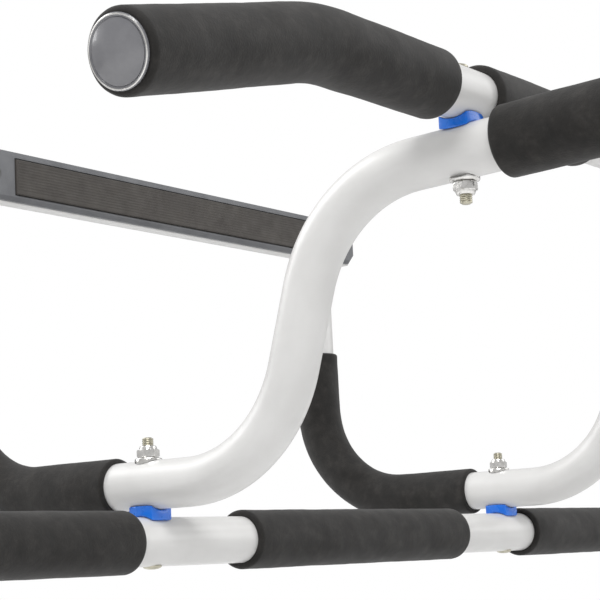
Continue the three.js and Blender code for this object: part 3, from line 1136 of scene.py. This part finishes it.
@dataclass
class SideFrame:
    """One side frame: vertical tube, bend, level run, S-shaped rise and handle.

    Attributes:
        side: Which side it stands on.
        rear_radius: The rear bend's radius.
        front_run: How far the level run passes the lower crossbar.
        rise_radius: The radius of the bend into the rise.
        rise_angle: The rise's angle in degrees.
        rise_length: The rise's straight length.
        handle_radius: The radius of the bend into the handle.
        handle_angle: That bend's angle in degrees.
        handle_length: The handle's straight length.
        bend_foam_radius: The outer radius of the foam on the rear bend.
        bend_foam_rounding: The rounding of that foam's ends.
        handle_foam_radius: The outer radius of the foam on the handle.
        handle_foam_lead: How far inside its CAD box that foam starts.
    """

    side: Side
    rear_radius: float = 0.0869
    front_run: float = 0.0341
    rise_radius: float = 0.0910
    rise_angle: float = 73.2
    rise_length: float = 0.0499
    handle_radius: float = 0.0898
    handle_angle: float = -70.9
    handle_length: float = 0.194
    bend_foam_radius: float = 0.0194
    bend_foam_rounding: float = 0.0024
    handle_foam_radius: float = 0.0216
    handle_foam_lead: float = 0.0004

    def line(self) -> Centreline:
        """Returns the frame's centreline from its top to the handle's end."""
        low, high = corners(f"side_frame_{self.side.value}")
        radius = (high.x - low.x) / 2
        back = high.y - radius
        start = Vector(((low.x + high.x) / 2, back, high.z))
        lower = middle("lower_bar")
        drop = high.z - (low.z + radius) - self.rear_radius
        level = back - self.rear_radius - lower.y + self.front_run
        return Centreline(start, Vector((0, 0, -1)), Vector((0, -1, 0)), [
            Leg(drop), Leg.bend(self.rear_radius, 90.0), Leg(level),
            Leg.bend(self.rise_radius, self.rise_angle), Leg(self.rise_length),
            Leg.bend(self.handle_radius, self.handle_angle), Leg(self.handle_length)])

    def build(self, shop: Workshop) -> None:
        """Builds the frame, its foam and its plugs."""
        name = self.side.value
        line = self.line()
        low, high = corners(f"side_frame_{name}")
        radius = (high.x - low.x) / 2
        BentTube(f"tube_side_{name}", f"side_frame_{name}", line, radius).build(shop)
        bend_low, bend_high = corners(f"foam_bend_{name}")
        start = line.reach(2, bend_high.z)
        front = line.reach(1, bend_low.y)
        FoamSleeve(f"foam_bend_{name}", line, start, front, self.bend_foam_radius,
                   rounding=self.bend_foam_rounding).build(shop)
        grip = line.reach(1, corners(f"foam_handle_{name}")[1].y - self.handle_foam_lead)
        FoamSleeve(f"foam_handle_{name}", line, grip, line.length, self.handle_foam_radius).build(shop)
        top, down = line.at(0.0)
        EndPlug(f"plug_frame_top_{name}", top, -down, radius).build(shop)
        end, forward = line.at(line.length)
        EndPlug(f"plug_handle_{name}", end, forward, PLUG_FLANGE).build(shop)
        Crossing(f"lower_{name}", True, radius).build(shop)
        Crossing(f"upper_{name}", False, radius).build(shop)


@dataclass
class HookBar:
    """The steel hook bar with its plastic cover, rubber pad and fasteners.

    Attributes:
        bevel: The width of the cover's bevelled border.
        sink: How deep the bevel falls at the cover's edge.
        corner: The size of the cover's cut lower corners.
        recess: The radius of the screw recesses.
        recess_depth: How deep they are.
        pad_gap: The gap round the pad in its pocket.
        fine: The grid's step where the cover has a sharp edge.
    """

    bevel: float = 0.0030
    sink: float = 0.0018
    corner: float = 0.009
    recess: float = 0.0062
    recess_depth: float = 0.0030
    pad_gap: float = 0.0009
    fine: float = 0.0004

    def build(self, shop: Workshop) -> None:
        """Builds the bar, cover, pad, screws, bolts and nuts."""
        self.build_bar(shop)
        self.build_cover(shop)
        self.build_pad(shop)
        for side in Side:
            self.build_screw(shop, side)
            self.build_bolt(shop, side)

    def build_bar(self, shop: Workshop) -> None:
        """Builds the steel bar, with rounded edges and eased ends that are closed."""
        low, high = corners("hook_bar")
        rounding = 0.0016
        centre = (low + high) / 2
        half_y, half_z = (high.y - low.y) / 2, (high.z - low.z) / 2

        def section(x: float, inset: float) -> Ring:
            """Returns the rounded section at a place along the bar."""
            ring = []
            for cy, cz, turn in ((1, 1, 0), (-1, 1, 1), (-1, -1, 2), (1, -1, 3)):
                for step in range(7):
                    angle = math.pi / 2 * (turn + step / 6)
                    y = cy * (half_y - rounding) + (rounding - inset) * math.cos(angle)
                    z = cz * (half_z - rounding) + (rounding - inset) * math.sin(angle)
                    ring.append(Vector((x, centre.y + y, centre.z + z)))
            return ring

        ease = 0.0005
        rings = [section(low.x, ease)]
        rings += [section(x, 0.0) for x in spread(low.x + ease, high.x - ease, 0.02)]
        rings.append(section(high.x, ease))
        shop.finish(ring_piece("steel_hook_bar", rings), Slot.PAINT, "hook_bar")

    def build_cover(self, shop: Workshop) -> None:
        """Builds the plastic cover with its bevelled border, pad pocket and screw recesses."""
        low, high = corners("hook_cover")
        pad_low, pad_high = corners("wall_pad")
        screw = middle("cover_screw_right")
        gap = self.pad_gap
        floor = pad_high.y + 0.0003
        slope = 0.0005

        def inside(value: float, start: float, end: float) -> float:
            """Returns how far a value lies inside a range; negative is outside."""
            return min(value - start, end - value)

        def place(x: float, share: float) -> tuple[Vector, Vector]:
            """Returns the cover's front and back point at a place."""
            end = min(x - low.x, high.x - x)
            bottom = low.z + max(self.corner - end, 0.0)
            z = bottom + (high.z - bottom) * share
            edge = min(end, z - bottom, high.z - z)
            y = low.y + self.sink * (1 - min(max(edge, 0.0) / self.bevel, 1.0))
            pocket = min(inside(x, pad_low.x - gap, pad_high.x + gap),
                         inside(z, pad_low.z - gap, pad_high.z + gap))
            if pocket > 0:
                y = low.y + (floor - low.y) * min(pocket / self.fine, 1.0)
            reach = math.hypot(abs(x) - screw.x, z)
            if reach < self.recess:
                y = low.y + self.recess_depth * min((self.recess - reach) / slope, 1.0)
            return Vector((x, y, z)), Vector((x, high.y, z))

        marks = [low.x + 0.0003, low.x + self.bevel, low.x + self.corner,
                 -screw.x, pad_low.x - gap, pad_low.x]
        xs = set(spread(low.x, high.x, 0.0040))
        for mark in marks:
            for sign in (-1, 1):
                xs.update(sign * mark + shift * self.fine for shift in (-1, 0, 1))
        margin = 0.0075
        for sign in (-1, 1):
            xs.update(spread(sign * screw.x - margin, sign * screw.x + margin, self.fine))
        across = sorted(x for x in xs if low.x <= x <= high.x)
        shop.finish(slab_piece("plastic_hook_cover", across, spread(0.0, 1.0, 1 / 96), place, 30.0),
                    Slot.COVER, "hook_cover")

    def build_pad(self, shop: Workshop) -> None:
        """Builds the rubber pad with soft edges and a fine lengthwise rib."""
        low, high = corners("wall_pad")
        soft = 0.0010

        def place(x: float, z: float) -> tuple[Vector, Vector]:
            """Returns the pad's front and back point at a place."""
            edge = min(x - low.x, high.x - x, z - low.z, high.z - z)
            fall = soft - math.sqrt(max(soft ** 2 - max(soft - edge, 0.0) ** 2, 0.0))
            rib = 0.00018 * (1 - math.cos(FULL_TURN * (z - low.z) / 0.0022)) / 2 if edge > 0.0016 else 0.0
            return Vector((x, low.y + fall + rib, z)), Vector((x, high.y, z))

        shares = (0, 0.15, 0.4, 0.7, 1.0)
        ends = [low.x + soft * share for share in shares]
        across = ends + spread(low.x + 0.002, high.x - 0.002, 0.006) + [-x for x in reversed(ends)]
        along = [low.z + soft * share for share in shares]
        along += spread(low.z + 0.0014, high.z - 0.0014, 0.0003) + [-z for z in reversed(along)]
        piece = shop.finish(slab_piece("rubber_wall_pad", across, along, place, 40.0), Slot.PAD, "wall_pad")

    def build_screw(self, shop: Workshop, side: Side) -> None:
        """Builds a cover screw: a domed head with a round recess."""
        node = f"cover_screw_{side.value}"
        low, high = corners(node)
        centre = (low + high) / 2
        base = Vector((centre.x, low.y, centre.z))
        profile = [(0.0010, 0.0002), (0.0010, 0.0014), (0.0002, 0.0018), (0.0, 0.0024), (0.0003, 0.0040)]
        profile += [(0.0009, 0.0052), (0.0016, 0.0057), (0.0022, 0.0057), (0.0022, 0.0019)]
        profile += [(high.y - low.y - 0.001, 0.0019), (high.y - low.y, 0.0008)]
        screw = turned_piece(f"zinc_{node}", base, Vector((0, 1, 0)), profile, 48)
        shop.finish(screw, Slot.ZINC, node)

    def build_bolt(self, shop: Workshop, side: Side) -> None:
        """Builds a hook bolt with its hexagon head behind the frame, and its nut in the bar."""
        node = f"hook_bolt_{side.value}"
        low, high = corners(node)
        centre = (low + high) / 2
        base = Vector((centre.x, high.y, centre.z))
        length = high.y - low.y
        profile = [(0.0, 0.0003), (0.0, 0.0062), (0.0005, 0.0070), (0.0010, 0.0075), (0.0044, 0.0075)]
        profile += [(0.0045, 0.0039), (length - 0.0008, 0.0039), (length, 0.0030), (length, 0.0003)]
        bolt = turned_piece(f"zinc_{node}", base, Vector((0, -1, 0)), profile, 72, hexagon, 24.0)
        shop.finish(bolt, Slot.ZINC, node)
        nut_node = f"hook_nut_{side.value}"
        nut_low, nut_high = corners(nut_node)
        nut_base = Vector((centre.x, nut_low.y, centre.z))
        thick = nut_high.y - nut_low.y
        profile = [(0.0, 0.0041), (0.0, 0.0066), (0.0007, 0.0075), (thick - 0.0007, 0.0075), (thick, 0.0066)]
        profile += [(thick, 0.0041)]
        nut = turned_piece(f"plated_{nut_node}", nut_base, Vector((0, 1, 0)), profile, 72, hexagon, 24.0)
        shop.finish(nut, Slot.CHROME, nut_node)


# ---------------------------------------------------------------- studio


@dataclass(frozen=True)
class Studio:
    """Camera, soft lights, pale floor and white surroundings.

    Attributes:
        eye: Where the camera stands.
        bearing: Its direction from +Y towards +X, in degrees.
        rise: How far it looks up, in degrees.
        roll: Its tilt about its own line of sight, in degrees.
        lens: Its focal length in millimetres on a 36 mm sensor.
        floor_gap: How far below the bar the floor lies.
        ambience: How bright the surroundings shine on the bar.
        aim: The point that the lights face.
        floor_reach: Half the floor's edge length.
    """

    eye: tuple[float, float, float] = (-1.1066, -0.9175, -0.2938)
    bearing: float = 54.02
    rise: float = 8.50
    roll: float = -2.81
    lens: float = 106.5
    floor_gap: float = 0.16
    ambience: float = 0.62
    aim: tuple[float, float, float] = (0.0, -0.2, -0.15)
    floor_reach: float = 3.0

    def build(self) -> None:
        """Builds the whole studio."""
        self.build_camera()
        self.build_world()
        self.build_floor()
        self.area("key", (-1.5, -1.1, 2.1), 1.4, 62.0)
        self.area("fill", (1.9, -1.9, 0.9), 2.0, 18.0)
        self.area("back", (-0.6, 2.1, 1.4), 1.8, 32.0)
        view = bpy.context.scene.view_settings
        view.view_transform = "Standard"
        view.look = "None"

    def build_camera(self) -> None:
        """Creates the camera at its viewing angle."""
        bearing, rise, roll = (math.radians(angle) for angle in (self.bearing, self.rise, self.roll))
        level_reach = math.cos(rise)
        forward = Vector((level_reach * math.sin(bearing), level_reach * math.cos(bearing), math.sin(rise)))
        level = Vector((math.cos(bearing), -math.sin(bearing), 0.0))
        upright = level.cross(forward)
        right = level * math.cos(roll) + upright * math.sin(roll)
        up = upright * math.cos(roll) - level * math.sin(roll)
        data = bpy.data.cameras.new("camera")
        data.lens = self.lens
        data.sensor_width = 36.0
        data.clip_end = 50.0
        camera = bpy.data.objects.new("camera", data)
        turn = Matrix((right, up, -forward)).transposed().to_4x4()
        camera.matrix_world = Matrix.Translation(self.eye) @ turn
        bpy.context.scene.collection.objects.link(camera)
        bpy.context.scene.camera = camera

    def build_world(self) -> None:
        """Makes the surroundings white."""
        world = bpy.data.worlds.new("studio_white")
        world.use_nodes = True
        background = world.node_tree.nodes["Background"]
        background.inputs["Color"].default_value = (1.0, 1.0, 1.0, 1.0)
        background.inputs["Strength"].default_value = 1.0
        paths = world.node_tree.nodes.new("ShaderNodeLightPath")
        level = world.node_tree.nodes.new("ShaderNodeMapRange")
        level.inputs["To Min"].default_value = self.ambience
        level.inputs["To Max"].default_value = 1.0
        world.node_tree.links.new(paths.outputs["Is Camera Ray"], level.inputs["Value"])
        world.node_tree.links.new(level.outputs["Result"], background.inputs["Strength"])
        bpy.context.scene.world = world

    def build_floor(self) -> None:
        """Lays a plain pale floor below the bar."""
        low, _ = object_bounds()
        height = low[2] - self.floor_gap
        half = self.floor_reach
        plan = ((-half, -half), (half, -half), (half, half), (-half, half))
        points = [Vector((x, y, height)) for x, y in plan]
        floor = mesh_piece("floor", points, [(0, 1, 2, 3)])
        kit = NodeKit("floor_pale")
        tone = kit.ramp(kit.noise(3.0), [(0.3, (0.80, 0.80, 0.80)), (0.7, (0.83, 0.83, 0.83))])
        kit.wire(tone, "Base Color")
        kit.put("Roughness", 0.7)
        floor.data.materials.append(kit.material)
        floor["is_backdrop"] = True

    def area(self, name: str, place: tuple[float, float, float], size: float, power: float) -> None:
        """Adds a soft square light that faces the bar.

        Args:
            name: The light's name.
            place: Where it stands.
            size: Its edge length.
            power: Its power in watts.
        """
        data = bpy.data.lights.new(name, "AREA")
        data.size = size
        data.energy = power
        light = bpy.data.objects.new(name, data)
        towards = Vector(self.aim) - Vector(place)
        turn = towards.to_track_quat("-Z", "Y").to_matrix().to_4x4()
        light.matrix_world = Matrix.Translation(place) @ turn
        bpy.context.scene.collection.objects.link(light)


def main() -> None:
    """Loads the frame and builds every sub-assembly in order."""
    logging.basicConfig(level=logging.INFO, format="%(name)s: %(message)s")
    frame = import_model()
    LOG.info("frame has %d nodes", len(frame["nodes"]))
    Studio().build()
    shop = Workshop()
    shop.prepare()
    LowerCrossbar().build(shop)
    UpperCrossbar().build(shop)
    for side in Side:
        SideFrame(side).build(shop)
    HookBar().build(shop)


if __name__ == "__main__":
    main()
